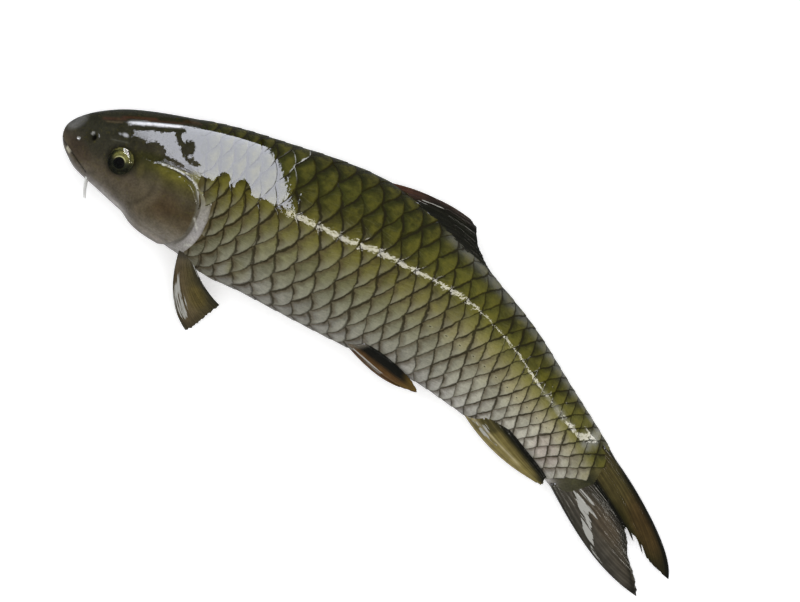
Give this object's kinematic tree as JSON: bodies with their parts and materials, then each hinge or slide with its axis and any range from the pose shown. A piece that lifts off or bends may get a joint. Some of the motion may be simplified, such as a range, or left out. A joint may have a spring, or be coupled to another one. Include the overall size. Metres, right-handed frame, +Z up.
{
  "type": "whole raw fish",
  "caption": "Whole raw large-scaled freshwater fish lying on its side, slightly curved, with half-closed fins and a forked tail.",
  "frame": {"origin": "on the surface the fish lies on, under the middle of its overall box", "axes": "+X from the head to the tail, +Y towards the back, +Z up out of the left flank"},
  "size_m": [0.4528, 0.1538, 0.057],
  "materials": {
    "scaled_skin": "wet, olive above and silver grey below, each scale rimmed dark",
    "head_skin": "wet smooth skin, brown olive on the cheek and gill cover, darker above",
    "fin_web": "wet membrane between bony rays, brown olive to black",
    "eye": "clear wet cornea over a gold iris and a black pupil"
  },
  "bodies": {
    "root": {"fish": "scaled_skin"}
  },
  "joints": []
}
